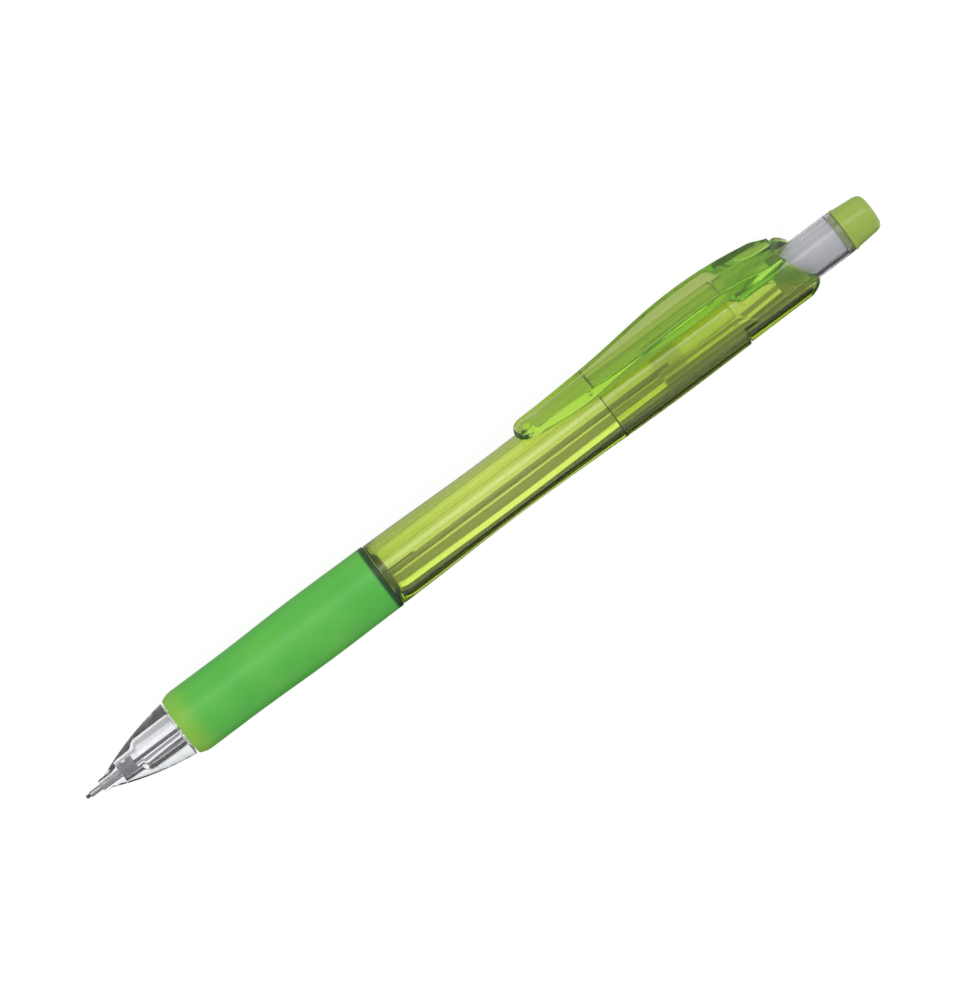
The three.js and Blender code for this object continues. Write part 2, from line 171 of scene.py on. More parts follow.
class Paint:
    def __init__(self, name):
        self.material = bpy.data.materials.new(name)
        self.material.use_nodes = True
        self.tree = self.material.node_tree
        self.tree.nodes.clear()
        self.out = self.tree.nodes.new("ShaderNodeOutputMaterial")

    def add(self, kind, settings=None, sockets=None):
        node = self.tree.nodes.new(kind)
        for name, value in (settings or {}).items():
            setattr(node, name, value)
        for name, value in (sockets or {}).items():
            if isinstance(value, Value):
                self.tree.links.new(value.socket, node.inputs[name])
            else:
                node.inputs[name].default_value = value
        return Value(self, node)

    def place(self, stretch=(1, 1, 1)):
        """Object coordinates along the pencil, in millimetres, stretched for a pattern."""
        coordinates = self.add("ShaderNodeTexCoord").of("Object")
        turn = PLACE.to_3x3().normalized().transposed().to_euler()
        own = self.add("ShaderNodeMapping", {}, {"Vector": coordinates, "Rotation": turn})
        scale = [s / MM for s in stretch]
        return self.add("ShaderNodeMapping", {}, {"Vector": own, "Scale": scale})

    def along(self, start, end):
        """Rises from 0 to 1 between two distances from the point, in millimetres."""
        behind = self.add("ShaderNodeSeparateXYZ", {}, {0: self.place()}).of("X") + POINT.x / MM
        return self.add("ShaderNodeMapRange", {"interpolation_type": "SMOOTHSTEP"}, {
            "Value": behind, "From Min": start, "From Max": end})

    def noise(self, scale, stretch=(1, 1, 1), detail=2):
        return self.add("ShaderNodeTexNoise", {}, {
            "Vector": self.place(stretch), "Scale": scale, "Detail": detail})

    def blend(self, factor, first, second):
        mixed = self.add("ShaderNodeMix", {"data_type": "RGBA"}, {0: factor, 6: first, 7: second})
        return mixed.of(2)

    def bump(self, height, strength, distance_mm):
        return self.add("ShaderNodeBump", {}, {
            "Height": height, "Strength": strength, "Distance": distance_mm * MM})

    def surface(self, **sockets):
        named = {k.replace("_", " "): v for k, v in sockets.items()}
        shader = self.add("ShaderNodeBsdfPrincipled", {}, named)
        self.tree.links.new(shader.socket, self.out.inputs["Surface"])
        return self.material

    def absorbs(self, per_mm):
        """What the plastic takes out of light, in red, green and blue, for each millimetre."""
        strongest = max(per_mm)
        colour = [1 - p / strongest for p in per_mm]
        volume = self.add("ShaderNodeVolumeAbsorption", {}, {
            "Color": (*colour, 1), "Density": strongest / MM})
        self.tree.links.new(volume.socket, self.out.inputs["Volume"])


# ---- Studio -------------------------------------------------------------------------
# A white table under white walls and a dim ceiling. One long soft box stands low in front
# of the clip's side. A black card behind the pencil and grey papers on both sides of it edge
# the clear plastic. A grey card under the pencil is painted contact shadow. All of them can
# be seen only in the clear plastic and through it.

WALL, CEILING = 1.0, 0.62
WALL_TOP, CEILING_EDGE = 0.35, 0.7
TABLE_SIZE, TABLE_GAP = 8, 0.02 * MM
TABLE_LIT, TABLE_LOOKED_AT = (0.9, 0.9, 0.9, 1), (0.1, 0.1, 0.1, 1)
TABLE_SEEN, TABLE_MIRRORED = 0.95, 0.25
BOX_SIZE, BOX_AWAY, BOX_RISE, BOX_GLOW = (0.8, 0.12), 0.5, 0.07, 2.6
CARD_LENGTH, CARD_RISE, CARD_AWAY, CARD_BLACK = 0.17, 0.038, 0.036, 0.01
PAPER_GAP = 0.01 * MM
# The first card, under the pencil, is painted contact shadow that shows through the clear plastic.
PAPERS_AND_PAINTED_SHADOW = (("painted_shadow_under", 0.5, -0.0035, 0.002),
          ("paper_behind", 0.3, 0.0145, 0.021),
          ("paper_before", 0.3, -0.032, -0.011))


def staged(name, size, place, turn, material):
    """A flat rectangle of the studio."""
    bm = bmesh.new()
    bmesh.ops.create_grid(bm, x_segments=1, y_segments=1, size=0.5)
    bmesh.ops.scale(bm, vec=(*size, 1), verts=bm.verts)
    bmesh.ops.rotate(bm, cent=(0, 0, 0), matrix=Matrix.Rotation(turn, 3, "X"), verts=bm.verts)
    bmesh.ops.translate(bm, vec=place, verts=bm.verts)
    mesh = bpy.data.meshes.new(name)
    bm.to_mesh(mesh)
    bm.free()
    mesh.materials.append(material)
    made = bpy.data.objects.new(name, mesh)
    bpy.context.scene.collection.objects.link(made)
    return made


paint = Paint("table_white")
rays = paint.add("ShaderNodeLightPath")
to_camera = rays.of("Is Camera Ray")
through = rays.of("Is Glossy Ray") + rays.of("Is Transmission Ray")
glow = paint.add("ShaderNodeEmission", {}, {
    "Color": (1, 1, 1, 1),
    "Strength": to_camera * TABLE_SEEN + (1 - to_camera) * through * TABLE_MIRRORED})
matt = paint.add("ShaderNodeBsdfDiffuse", {}, {
    "Color": paint.blend(to_camera, TABLE_LIT, TABLE_LOOKED_AT)})
white_table = paint.add("ShaderNodeAddShader", {}, {0: glow, 1: matt})
paint.tree.links.new(white_table.socket, paint.out.inputs["Surface"])
staged("table", (TABLE_SIZE, TABLE_SIZE), (0, 0, cad_box[0].z - TABLE_GAP), 0, paint.material)


def card(name, grey, size, place, turn):
    """A card that shows only in reflections and through clear plastic."""
    paint = Paint(name)
    paper = paint.add("ShaderNodeEmission", {}, {"Color": (1, 1, 1, 1), "Strength": grey})
    paint.tree.links.new(paper.socket, paint.out.inputs["Surface"])
    made = staged(name, size, place, turn, paint.material)
    made.visible_camera = False
    made.visible_diffuse = False
    made.visible_shadow = False


card("card_behind", CARD_BLACK, (CARD_LENGTH, CARD_RISE),
     (0, CARD_AWAY, CARD_RISE / 2), math.pi / 2)
for name, grey, front, back in PAPERS_AND_PAINTED_SHADOW:
    card(name, grey, (CARD_LENGTH, back - front),
         (0, (back + front) / 2, cad_box[0].z - PAPER_GAP), 0)

world = bpy.data.worlds.new("walls")
bpy.context.scene.world = world
world.use_nodes = True
room = world.node_tree
direction = room.nodes.new("ShaderNodeTexCoord")
rise = room.nodes.new("ShaderNodeSeparateXYZ")
shade = room.nodes.new("ShaderNodeMapRange")
shade.interpolation_type = "SMOOTHSTEP"
for name, value in (("From Min", WALL_TOP), ("From Max", CEILING_EDGE),
                    ("To Min", WALL), ("To Max", CEILING)):
    shade.inputs[name].default_value = value
room.links.new(direction.outputs["Generated"], rise.inputs[0])
room.links.new(rise.outputs["Z"], shade.inputs["Value"])
room.links.new(shade.outputs[0], room.nodes["Background"].inputs["Strength"])
room.nodes["Background"].inputs["Color"].default_value = (1, 1, 1, 1)

lamp = bpy.data.lights.new("soft_box", "AREA")
lamp.shape = "RECTANGLE"
lamp.size, lamp.size_y = BOX_SIZE
lamp.energy = BOX_GLOW * math.pi * BOX_SIZE[0] * BOX_SIZE[1]
soft_box = bpy.data.objects.new("soft_box", lamp)
bpy.context.scene.collection.objects.link(soft_box)
soft_box.visible_transmission = False
stand = Vector((0, -BOX_AWAY, BOX_RISE))
facing = (stand - middle).to_track_quat("Z", "Y").to_matrix()
soft_box.matrix_world = Matrix.Translation(stand) @ facing.to_4x4()


# ---- Lead pipe ----------------------------------------------------------------------
# A drawn steel pipe, 0.9 mm across, pressed into the nose of the cone. The lead slides
# out through it, so its front edge is rounded.

PIPE_RADIUS, PIPE_BORE = 0.45, 0.33
ROUNDING = 4
SHARP = math.radians(35)
SAME_POINT = 1e-4


def softened(outline):
    """Rounds each corner of [x, r] points whose third number says how far from it to start."""
    count = len(outline)
    points = []
    for k, corner in enumerate(outline):
        here = Vector(corner[:2])
        if len(corner) < 3:
            points.append(here)
            continue
        before = Vector(outline[k - 1][:2])
        after = Vector(outline[(k + 1) % count][:2])
        start = here + (before - here).normalized() * min(corner[2], (before - here).length / 2)
        end = here + (after - here).normalized() * min(corner[2], (after - here).length / 2)
        for i in range(ROUNDING + 1):
            t = i / ROUNDING
            points.append(start * (1 - t) ** 2 + here * 2 * t * (1 - t) + end * t ** 2)
    return points


def turned(outline, steps, closed=True):
    """A bmesh turned from a closed outline, or from an open one with both ends on the axis."""
    bm = bmesh.new()
    points = softened(outline)
    verts = [bm.verts.new((p.x, 0, p.y)) for p in points]
    edges = [bm.edges.new(pair) for pair in zip(verts, verts[1:])]
    if closed:
        edges.append(bm.edges.new((verts[-1], verts[0])))
    bmesh.ops.spin(bm, geom=verts + edges, cent=(0, 0, 0), axis=(1, 0, 0), dvec=(0, 0, 0),
                   angle=2 * math.pi, steps=steps, use_merge=True, use_duplicate=False)
    return bm


def eased(knots, steps=10):
    """[x, r] points that run smoothly from knot to knot, level at each knot."""
    points = [knots[0]]
    for (x0, r0), (x1, r1) in zip(knots, knots[1:]):
        for i in range(1, steps + 1):
            t = i / steps
            points.append((x0 + (x1 - x0) * t, r0 + (r1 - r0) * (1 - math.cos(math.pi * t)) / 2))
    return points


def piece(name, bm, material, body, slot, *nodes):
    """Puts a finished bmesh in its place, on its body, for the CAD nodes that it stands for."""
    bmesh.ops.remove_doubles(bm, verts=bm.verts, dist=SAME_POINT)
    bmesh.ops.recalc_face_normals(bm, faces=bm.faces)
    bmesh.ops.transform(bm, matrix=PLACE, verts=bm.verts)
    for face in bm.faces:
        face.smooth = True
    for edge in bm.edges:
        edge.smooth = edge.is_manifold and edge.calc_face_angle(0) < SHARP
    mesh = bpy.data.meshes.new(name)
    bm.to_mesh(mesh)
    bm.free()
    mesh.materials.append(material)
    made = bpy.data.objects.new(name, mesh)
    bpy.context.scene.collection.objects.link(made)
    if body:
        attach(made, body)
    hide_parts(*nodes)
    return made


def uneven(pattern, usual, spread):
    """A roughness that a pattern from 0 to 1 takes up and down from the usual one."""
    return pattern * spread + (usual - spread / 2)


def metal(name, colour, roughness, grain):
    """Metal with the fine rings that a lathe or a die leaves round it."""
    paint = Paint(name)
    rings = paint.noise(1.0, (grain, 0.3, 0.3))
    return paint.surface(
        Base_Color=(*colour, 1), Metallic=1.0, Roughness=uneven(rings, roughness, 0.12),
        Normal=paint.bump(rings, 0.2, 0.02))


steel = metal("drawn_steel", (0.4, 0.4, 0.42), 0.3, 9)
pipe_front, pipe_back = ends("lead_sleeve")
piece("lead_pipe", turned([
    (pipe_front, PIPE_BORE, 0.03), (pipe_front, PIPE_RADIUS, 0.08),
    (pipe_back, PIPE_RADIUS), (pipe_back, PIPE_BORE),
], steps=48), steel, "tip_section", "steel", "lead_sleeve")

# ---- Lead retainer ------------------------------------------------------------------
# A small ring of grey silicone rubber in the cone, behind the pipe. It grips the lead
# lightly, so that it doesn't fall back when the chuck opens.

RETAINER_RADIUS, RETAINER_BORE = 1.2, 0.36
LIP_WIDTH, GROOVE_DEPTH, GROOVE_SLOPE = 1.0, 0.25, 0.1

paint = Paint("grey_silicone")
mottle = paint.noise(1.5)
silicone = paint.surface(
    Base_Color=paint.blend(mottle, (0.22, 0.22, 0.24, 1), (0.34, 0.34, 0.37, 1)),
    Roughness=0.5, Subsurface_Weight=0.3, Subsurface_Radius=(MM, MM, MM),
    Normal=paint.bump(mottle, 0.2, 0.03))
front, back = ends("lead_retainer")
groove = RETAINER_RADIUS - GROOVE_DEPTH
piece("retainer_ring", turned([
    (front, RETAINER_BORE, 0.1), (front, RETAINER_RADIUS, 0.2),
    (front + LIP_WIDTH, RETAINER_RADIUS, 0.1),
    (front + LIP_WIDTH + GROOVE_SLOPE, groove, 0.1),
    (back - LIP_WIDTH - GROOVE_SLOPE, groove, 0.1),
    (back - LIP_WIDTH, RETAINER_RADIUS, 0.1),
    (back, RETAINER_RADIUS, 0.2), (back, RETAINER_BORE, 0.1),
], steps=48), silicone, "tip_section", "dark_rubber", "lead_retainer")

# ---- Cone ---------------------------------------------------------------------------
# A cone of clear polycarbonate with a short neck and a full taper. A threaded stem behind
# its shoulder screws into the barrel. Its polished bore shows the lead inside.

NECK_RADIUS, NECK_LENGTH = 1.05, 1.3
NOSE_RADIUS, NOSE_LENGTH = 0.86, 0.3
SHOULDER_RADIUS, SHOULDER_GAP = 4.55, 0.4
BOW_ALONG, BOW_OUT, TAPER_STEPS = 0.42, 0.7, 24
CONE_BORE, BORE_FRONT, BORE_TAPER = 1.85, 9.6, 0.9
STEM_RADIUS, STEM_BORE, STEM_FLOOR = 3.2, 2.72, 0.1
THREAD_PITCH, THREAD_DEPTH, THREAD_START, THREAD_END = 0.8, 0.2, 0.8, 0.4
PIPE_FIT, RETAINER_FIT, SEAT_FIT = 0.04, 0.06, 0.05
SCUFFED = 0.97


def clear_plastic(name, per_mm, tint, clear, index=1.49, roughness=0.02, scuffs=0.04, deeper=None):
    """Clear moulded plastic, a little scuffed.

    deeper gives where along the pencil a deeper tint starts and is full, and that tint.
    """
    paint = Paint(name)
    wear = paint.noise(0.9, (0.25, 1, 1), detail=5)
    paint.absorbs(per_mm)
    colour = paint.blend(wear, (*tint, 1), (*(SCUFFED * t for t in tint), 1))
    if deeper:
        start, full, deep_tint = deeper
        colour = paint.blend(paint.along(start, full), colour, (*deep_tint, 1))
    return paint.surface(
        Base_Color=colour, Transmission_Weight=clear, IOR=index,
        Roughness=wear ** 3.0 * scuffs + roughness)


clear = clear_plastic("clear_polycarbonate", (0.012, 0.01, 0.008), (0.98, 0.98, 1.0), 0.96, 1.52)
nose, stem_back = ends("tip_cone")
shoulder = ends("grip")[0] - SHOULDER_GAP
neck = nose + NECK_LENGTH
bow = Vector((neck + BOW_ALONG * (shoulder - neck),
              NECK_RADIUS + BOW_OUT * (SHOULDER_RADIUS - NECK_RADIUS)))
taper = []
for i in range(TAPER_STEPS + 1):
    t = i / TAPER_STEPS
    p = (Vector((neck, NECK_RADIUS)) * (1 - t) ** 2 + bow * 2 * t * (1 - t)
         + Vector((shoulder, SHOULDER_RADIUS)) * t ** 2)
    taper.append((p.x, p.y))
taper[-1] = (*taper[-1], 0.15)
root = STEM_RADIUS - THREAD_DEPTH
threads = []
thread = shoulder + THREAD_START
while thread + THREAD_PITCH < stem_back - THREAD_END:
    threads += [(thread, root, 0.1), (thread + THREAD_PITCH / 2, STEM_RADIUS, 0.1)]
    thread += THREAD_PITCH
pocket = RETAINER_RADIUS + RETAINER_FIT
pipe_hole = PIPE_RADIUS + PIPE_FIT
piece("cone", turned([
    (nose, pipe_hole), (nose, NOSE_RADIUS, 0.08), (nose + NOSE_LENGTH, NECK_RADIUS, 0.1),
    *taper, (shoulder, root), *threads, (thread, root), (stem_back, root, 0.1),
    (stem_back, STEM_BORE, 0.1), (shoulder + STEM_FLOOR, STEM_BORE, 0.1),
    (shoulder + STEM_FLOOR, CONE_BORE, 0.15), (BORE_FRONT + BORE_TAPER, CONE_BORE, 0.4),
    (BORE_FRONT, pocket, 0.3), (pipe_back + SEAT_FIT, pocket, 0.1),
    (pipe_back + SEAT_FIT, pipe_hole),
], steps=128), clear, "tip_section", "clear_plastic", "tip_cone")

# ---- Leads --------------------------------------------------------------------------
# Graphite and resin leads, 0.56 mm by 60 mm, extruded and fired: one that the chuck holds,
# and three spare ones side by side in the lead tube.

LEAD_RADIUS = 0.28


def lead_surface(name, dark, light):
    """The dull sheen of graphite, in which the grain runs along the lead."""
    paint = Paint(name)
    grain = paint.noise(6.0, (0.2, 1, 1))
    return paint.surface(
        Base_Color=paint.blend(grain, (dark, dark, dark, 1), (light, light, light, 1)),
        Roughness=grain * 0.2 + 0.3, Metallic=0.4)


def lead(name, node, body, graphite, offset=(0, 0, 0)):
    """One lead, in the middle of the pencil or as far off it as the offset says."""
    front, back = ends(node)
    bm = turned([
        (front, 0), (front, LEAD_RADIUS, 0.08), (back, LEAD_RADIUS, 0.08), (back, 0),
    ], steps=24, closed=False)
    bmesh.ops.translate(bm, verts=bm.verts, vec=offset)
    piece(name, bm, graphite, body, "graphite", node)


lead("lead", "lead_in_use", "lead_feed", lead_surface("graphite_dark", 0.04, 0.1))
# Painted light: the spare leads get a light grey far above graphite's own dark grey, so that they
# show light in the shade inside the lead tube.
lightened_graphite = lead_surface("graphite_lightened", 0.46, 0.6)
for k in range(3):
    low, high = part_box(f"spare_lead_{k + 1}")
    aside = PLACE.inverted() @ ((low + high) / 2)
    lead(f"spare_{k + 1}", f"spare_lead_{k + 1}", "push_button", lightened_graphite, (0, aside.y, aside.z))

# ---- Chuck and ring -----------------------------------------------------------------
# A brass chuck, turned and sawn into three jaws, that closes on the lead while a plated
# ring is round its head.

CHUCK_HEAD, CHUCK_STEM, CHUCK_BORE = 1.65, 1.0, 0.36
HEAD_LENGTH, HEAD_TAPER, SLOT_LENGTH, SLOT_WIDTH = 3.0, 0.6, 9.5, 0.3
HEAD_FLAT = CHUCK_HEAD - 0.2
JAWS, JAW_STEPS, JAW_OVERLAP = 3, 14, 0.1
RING_BORE, RING_RADIUS = 1.75, 2.17

brass = metal("turned_brass", (0.72, 0.52, 0.22), 0.22, 6)
front, back = ends("chuck")
split = front + SLOT_LENGTH
jaw_outline = [
    (front, CHUCK_BORE), (front, HEAD_FLAT, 0.08), (front + HEAD_TAPER, CHUCK_HEAD, 0.1),
    (front + HEAD_LENGTH - HEAD_TAPER, HEAD_FLAT, 0.1), (front + HEAD_LENGTH, CHUCK_STEM, 0.2),
    (split + JAW_OVERLAP, CHUCK_STEM), (split + JAW_OVERLAP, CHUCK_BORE),
]
chuck = turned([
    (split, CHUCK_BORE), (split, CHUCK_STEM), (back, CHUCK_STEM, 0.15), (back, CHUCK_BORE),
], steps=48)
gap = SLOT_WIDTH / 2 / CHUCK_STEM
for k in range(JAWS):
    jaw = bmesh.new()
    verts = [jaw.verts.new((p.x, 0, p.y)) for p in softened(jaw_outline)]
    face = jaw.faces.new(verts)
    to_jaw = Matrix.Rotation(gap + k * 2 * math.pi / JAWS, 3, "X")
    bmesh.ops.rotate(jaw, verts=verts, cent=(0, 0, 0), matrix=to_jaw)
    bmesh.ops.spin(jaw, geom=[face, *face.verts, *face.edges], cent=(0, 0, 0), axis=(1, 0, 0),
                   dvec=(0, 0, 0), angle=2 * math.pi / JAWS - 2 * gap, steps=JAW_STEPS,
                   use_duplicate=True)
    jaw_mesh = bpy.data.meshes.new("jaw")
    jaw.to_mesh(jaw_mesh)
    jaw.free()
    chuck.from_mesh(jaw_mesh)
piece("split_chuck", chuck, brass, "push_button", "brass", "chuck")

front, back = ends("chuck_ring")
piece("clutch_ring", turned([
    (front, RING_BORE, 0.08), (front, RING_RADIUS, 0.15),
    (back, RING_RADIUS, 0.15), (back, RING_BORE, 0.08),
], steps=64), steel, "lead_feed", "steel", "chuck_ring")

# ---- Housing, spring and joint ------------------------------------------------------
# White moulded housing with the ring's seat, the steel return spring inside it, and the
# joint that carries the chuck on the lead tube.

CHAMBER, HOUSING, HOUSING_FLOOR = 2.12, 2.6, 3.0
STEM_HOLE = CHUCK_STEM + 0.15
FLANGE, FLANGE_GAP, FLANGE_LENGTH = 3.25, 0.3, 2.7
WIRE, WIRE_SIDES, TURNS, TURN_STEPS = 0.18, 10, 7, 24
JOINT_RADIUS, JOINT_NECK, JOINT_NECK_LENGTH = 2.0, 1.3, 4.0
JOINT_BORE, CHUCK_SOCKET, CHUCK_STOP = 0.56, CHUCK_STEM + 0.06, 0.3


def moulded(name, dark, light, roughness):
    """Plain moulded plastic, with a faint cloudiness and the skin of its mould."""
    paint = Paint(name)
    cloud = paint.noise(0.35, detail=3)
    skin = paint.noise(7.0)
    return paint.surface(
        Base_Color=paint.blend(cloud, (*dark, 1), (*light, 1)),
        Roughness=uneven(skin, roughness, 0.1),
        Subsurface_Weight=0.2, Subsurface_Radius=(MM, MM, MM), Normal=paint.bump(skin, 0.15, 0.01))


white = moulded("white_acetal", (0.74, 0.75, 0.77), (0.82, 0.83, 0.85), 0.35)
front, back = ends("chuck_housing")
flange = stem_back + FLANGE_GAP
piece("housing", turned([
    (front, STEM_HOLE, 0.1), (front, HOUSING, 0.2), (flange, HOUSING, 0.1),
    (flange, FLANGE, 0.1), (flange + FLANGE_LENGTH, FLANGE, 0.1),
    (flange + FLANGE_LENGTH, HOUSING, 0.1),
    (back, HOUSING, 0.15), (back, CHAMBER, 0.15),
    (front + HOUSING_FLOOR, CHAMBER), (front + HOUSING_FLOOR, STEM_HOLE),
], steps=64), white, "main_body", "white_plastic", "chuck_housing")

front, back = ends("return_spring")
coil_radius = (CHAMBER + CHUCK_STEM) / 2
coil = bmesh.new()
bmesh.ops.create_circle(coil, segments=WIRE_SIDES, radius=WIRE, cap_ends=True)
upright_turn = Matrix.Rotation(math.pi / 2, 3, "X")
bmesh.ops.rotate(coil, verts=coil.verts, cent=(0, 0, 0), matrix=upright_turn)
bmesh.ops.translate(coil, verts=coil.verts, vec=(front + WIRE, 0, coil_radius))
coil_steps = TURNS * TURN_STEPS
bmesh.ops.spin(coil, geom=coil.verts[:] + coil.edges[:] + coil.faces[:], cent=(0, 0, 0),
               axis=(1, 0, 0), dvec=((back - front - 2 * WIRE) / coil_steps, 0, 0),
               angle=2 * math.pi * TURNS, steps=coil_steps, use_duplicate=True)
spring = piece("spring", coil, steel, "main_body", "steel", "return_spring")
travel = joint("push_button_slide")["range_m"][1] / MM
1 - travel / (back - front)
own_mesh(spring)

front, back = ends("chuck_joint")
chuck_stop = ends("chuck")[1] + CHUCK_STOP
piece("joint", turned([
    (front, CHUCK_SOCKET, 0.1), (front, JOINT_RADIUS, 0.2),
    (back - JOINT_NECK_LENGTH, JOINT_RADIUS, 0.1), (back - JOINT_NECK_LENGTH, JOINT_NECK),
    (back, JOINT_NECK, 0.15), (back, JOINT_BORE),
    (chuck_stop, JOINT_BORE), (chuck_stop, CHUCK_SOCKET),
], steps=64), white, "push_button", "white_plastic", "chuck_joint")

# ---- Lead tube ----------------------------------------------------------------------
# A cloudy extruded tube that holds the spare leads. It is wide behind the housing, and its
# end is pressed into the front of the push tube.

TUBE_RADIUS, TUBE_BORE = 2.0, 1.4
WIDE_RADIUS, WIDE_BORE = 2.7, 2.1
WIDE_AFTER_HOUSING, FLARE = 5.5, 0.7

paint = Paint("cloudy_tube")
cloud = paint.noise(0.5, (0.2, 1, 1), detail=3)
cloudy = paint.surface(
    Base_Color=paint.blend(cloud, (0.96, 0.97, 0.9, 1), (0.9, 0.92, 0.82, 1)),
    Roughness=cloud * 0.1 + 0.3, Alpha=cloud * 0.06 + 0.09)
front, back = ends("lead_tube")
wide_front = ends("chuck_housing")[1] + WIDE_AFTER_HOUSING
piece("magazine", turned([
    (front, TUBE_BORE, 0.05), (front, TUBE_RADIUS, 0.1), (wide_front - FLARE, TUBE_RADIUS, 0.3),
    (wide_front, WIDE_RADIUS, 0.3), (back, WIDE_RADIUS, 0.15), (back, WIDE_BORE, 0.1),
    (wide_front + FLARE, WIDE_BORE, 0.3), (wide_front, TUBE_BORE, 0.3),
], steps=96), cloudy, "push_button", "milky_plastic", "lead_tube")

# ---- Push tube ----------------------------------------------------------------------
# The tube that the thumb presses: clear plastic with a breath of lavender, smooth
# outside, with a mouth that takes the spigot of the cap.

PUSH_RADIUS, PUSH_BORE, MOUTH_RADIUS, MOUTH_DEPTH = 3.5, 2.8, 3.08, 1.05

lavender = clear_plastic("lavender_plastic", (0.05, 0.05, 0.035), (0.965, 0.97, 0.985), 0.95,
                         roughness=0.08, scuffs=0.08)
push_front, push_back = ends("push_tube")
piece("push_button_tube", turned([
    (push_front, PUSH_BORE, 0.1), (push_front, PUSH_RADIUS, 0.25), (push_back, PUSH_RADIUS, 0.15),
    (push_back, MOUTH_RADIUS, 0.08), (push_back - MOUTH_DEPTH, MOUTH_RADIUS, 0.1),
    (push_back - MOUTH_DEPTH, PUSH_BORE, 0.1),
], steps=96), lavender, "push_button", "pale_plastic", "push_tube")

# ---- Eraser -------------------------------------------------------------------------
# A white vinyl eraser, cut from an extruded stick. It sits in the push tube and stands out
# of it under the cap.

ERASER_RADIUS = 2.58

paint = Paint("eraser_vinyl")
dust = paint.noise(2.0, detail=6)
vinyl = paint.surface(
    Base_Color=paint.blend(dust, (0.9, 0.9, 0.92, 1), (0.96, 0.96, 0.98, 1)),
    Roughness=0.75, Normal=paint.bump(dust, 0.25, 0.04))
front, back = ends("eraser")
piece("eraser_stick", turned([
    (front, 0), (front, ERASER_RADIUS, 0.25), (back, ERASER_RADIUS, 0.3), (back, 0),
], steps=64, closed=False), vinyl, "eraser_body", "eraser_vinyl", "eraser")

# ---- Eraser cap ---------------------------------------------------------------------
# A moulded satin lime cap with a narrow collar. Its thin spigot fits between the eraser and
# the mouth of the push tube, and shows through the end of the tube.

CAP_RADIUS, CAP_END, CAP_WALL, CAP_EDGE = 3.38, 2.98, 0.85, 1.3
CAP_GAP, COLLAR_LENGTH, COLLAR_STEP = 0.1, 0.5, 0.1
SPIGOT_RADIUS, SPIGOT_SHORT, CAVITY_RADIUS = 3.02, 1.0, 2.7

cap_plastic = moulded("lime_cap_plastic", (0.31, 0.45, 0.06), (0.37, 0.5, 0.085), 0.3)
spigot_front, cap_back = ends("eraser_cap")
spigot_front += SPIGOT_SHORT
cap_front = push_back + CAP_GAP
piece("cap", turned([
    (spigot_front, CAVITY_RADIUS, 0.05), (spigot_front, SPIGOT_RADIUS, 0.1),
    (cap_front, SPIGOT_RADIUS), (cap_front, PUSH_RADIUS, 0.15),
    (cap_front + COLLAR_LENGTH, PUSH_RADIUS, 0.15),
    (cap_front + COLLAR_LENGTH + COLLAR_STEP, CAP_RADIUS, 0.1),
    (cap_back, CAP_END, CAP_EDGE), (cap_back, 0), (cap_back - CAP_WALL, 0),
    (cap_back - CAP_WALL, CAVITY_RADIUS, 0.4),
], steps=96), cap_plastic, "cap_body", "cap_plastic", "eraser_cap")

# ---- Grip ---------------------------------------------------------------------------
# A moulded elastomer sleeve, stretched over the nose of the barrel. Its skin is satin, and its
# green is a little uneven and yellower at the front. Its rear lip is painted dark, as painted
# shade in the seam.

GRIP_BORE, GRIP_RADIUS, GRIP_BULGE, GRIP_WAIST = 4.4, 5.18, 0.2, 0.03
GRIP_MOUTH, GRIP_ROUND, GRIP_WAIST_AT, GRIP_FULL_AT = 0.3, 1.2, 9.2, 24.7
GRIP_BACK_RISE, GRIP_LIP_RISE, GRIP_OVER = 0.12, 0.1, 0.3
YELLOW_END, GREEN_START = 17.5, 22
SEAM_SHADE_START, SEAM_SHADE_FULL = 53.25, 53.8
YELLOW_GREEN, SEAM_SHADE_GREEN = (0.24, 0.52, 0.05, 1), (0.008, 0.05, 0.01, 1)
COOL_GREEN, WARM_GREEN = (0.04, 0.43, 0.045, 1), (0.15, 0.55, 0.07, 1)

paint = Paint("green_elastomer")
patches = paint.noise(0.12)
skin = paint.noise(5.0)
green = paint.blend(patches, COOL_GREEN, WARM_GREEN)
green = paint.blend(paint.along(YELLOW_END, GREEN_START), YELLOW_GREEN, green)
# Painted shade: the rear lip is darkened to near black, where the seam between grip and barrel lies
# in shade.
green = paint.blend(paint.along(SEAM_SHADE_START, SEAM_SHADE_FULL), green, SEAM_SHADE_GREEN)
elastomer = paint.surface(
    Base_Color=green, Roughness=skin * 0.12 + 0.38,
    Subsurface_Weight=0.15, Subsurface_Radius=(MM, 2 * MM, MM),
    Normal=paint.bump(skin, 0.2, 0.02))
grip_front, grip_back = ends("grip")
piece("grip_sleeve", turned([
    (grip_front, GRIP_BORE), (grip_front, GRIP_BORE + GRIP_MOUTH, 0.12),
    (grip_front + GRIP_ROUND, GRIP_RADIUS, 0.8),
    *eased([(grip_front + GRIP_WAIST_AT, GRIP_RADIUS - GRIP_WAIST),
            (grip_front + GRIP_FULL_AT, GRIP_RADIUS + GRIP_BULGE),
            (grip_back - GRIP_OVER, GRIP_RADIUS + GRIP_BACK_RISE)]),
    (grip_back + GRIP_OVER, GRIP_RADIUS + GRIP_LIP_RISE, 0.25),
    (grip_back + GRIP_OVER, GRIP_BORE),
], steps=128), elastomer, "main_body", "grip_rubber", "grip")

# ---- Barrel -------------------------------------------------------------------------
# A tube of clear lime plastic, narrow at the waist and full towards the clip. Its nose
# carries the grip and takes the cone's thread, and its socket takes the rear sleeve.

